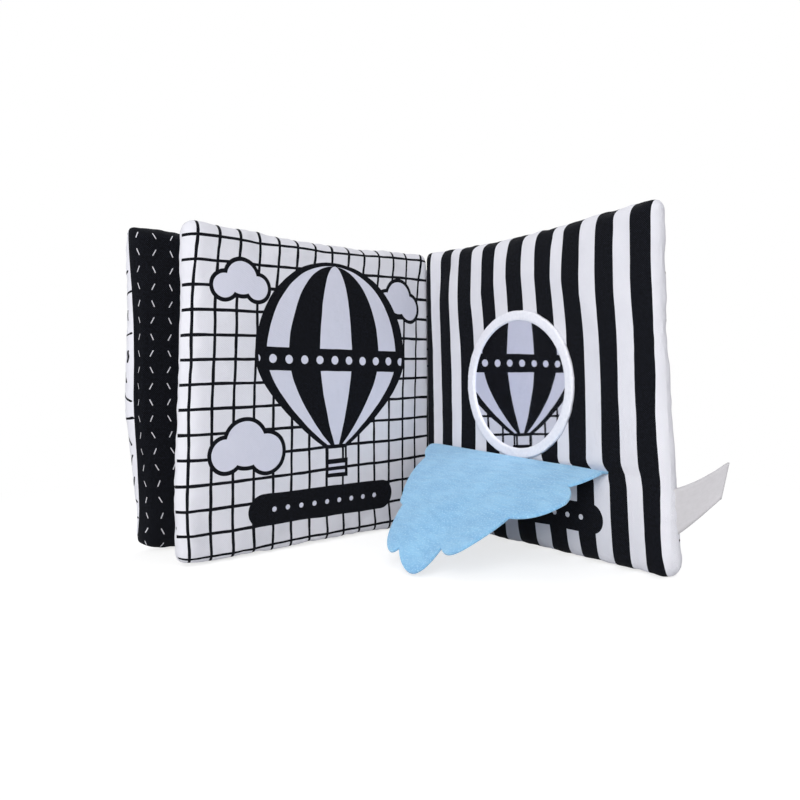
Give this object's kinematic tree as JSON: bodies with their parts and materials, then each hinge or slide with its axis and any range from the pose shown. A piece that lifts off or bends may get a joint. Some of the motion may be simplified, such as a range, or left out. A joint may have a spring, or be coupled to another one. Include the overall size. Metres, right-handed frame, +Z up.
{
  "type": "soft cloth book",
  "caption": "Stuffed cloth book that stands half open, with a sewn mirror, a scalloped lift-up flap, patterned soft pages and an edge tape loop.",
  "frame": {"origin": "middle of the book's footprint on the surface that it stands on", "axes": "+Z up along the gutter; the reader looks along +Y into the open spread; +X to the reader's right, along the book's longest extent"},
  "size_m": [0.2594, 0.1366, 0.1495],
  "materials": {
    "striped_cotton": "plain woven polyester cotton, white with printed black stripes",
    "grid_cotton": "plain woven polyester cotton, white with a printed grid",
    "black_dashed_cotton": "plain woven polyester cotton, black with printed white dashes",
    "white_dashed_cotton": "plain woven polyester cotton, white with printed black dashes",
    "wadding": "polyester wadding",
    "mirror_film": "polished, slightly wavy metallised film",
    "binding_tape": "white bias tape over a soft core",
    "blue_plush": "light blue short pile velour",
    "label_satin": "white satin tape"
  },
  "bodies": {
    "back_cover": {"striped_panel_upper": "striped_cotton", "striped_panel_lower": "striped_cotton", "back_cover_outer_cloth": "white_dashed_cotton", "back_cover_wadding": "wadding", "mirror_film": "mirror_film", "mirror_binding_ring": "binding_tape", "flap_hem": "blue_plush", "spine_cloth_rear": "white_dashed_cotton"},
    "middle_leaf": {"grid_panel": "grid_cotton", "middle_leaf_rear_cloth": "white_dashed_cotton", "middle_leaf_wadding": "wadding", "gutter_tape": "binding_tape", "spine_cloth_front": "white_dashed_cotton"},
    "front_cover": {"front_cover_inner_cloth": "black_dashed_cotton", "front_cover_outer_cloth": "white_dashed_cotton", "front_cover_wadding": "wadding"},
    "flap": {"cloud_flap": "blue_plush"},
    "label": {"label_tape": "label_satin"}
  },
  "joints": [
    {"name": "page_hinge", "type": "hinge", "parent": "back_cover", "child": "middle_leaf", "pos_m": [0.01219, 0.0547, 0], "axis": [0, 0, -1], "range_deg": [-75, 85], "deforming": ["cloud_flap", "flap_hem", "spine_cloth_rear"]},
    {"name": "cover_hinge", "type": "hinge", "parent": "middle_leaf", "child": "front_cover", "pos_m": [0.00244, 0.06516, 0], "axis": [0, 0, -1], "range_deg": [-6, 140], "deforming": ["spine_cloth_front"]},
    {"name": "flap_hinge", "type": "hinge", "parent": "back_cover", "child": "flap", "pos_m": [0.00901, 0.0521, 0.0451], "axis": [-0.5744, 0.8173, 0.0468], "range_deg": [0, 104]},
    {"name": "label_hinge", "type": "hinge", "parent": "back_cover", "child": "label", "pos_m": [0.10403, -0.06483, 0.0161], "axis": [0, 0, 1], "range_deg": [-100, 5]}
  ]
}
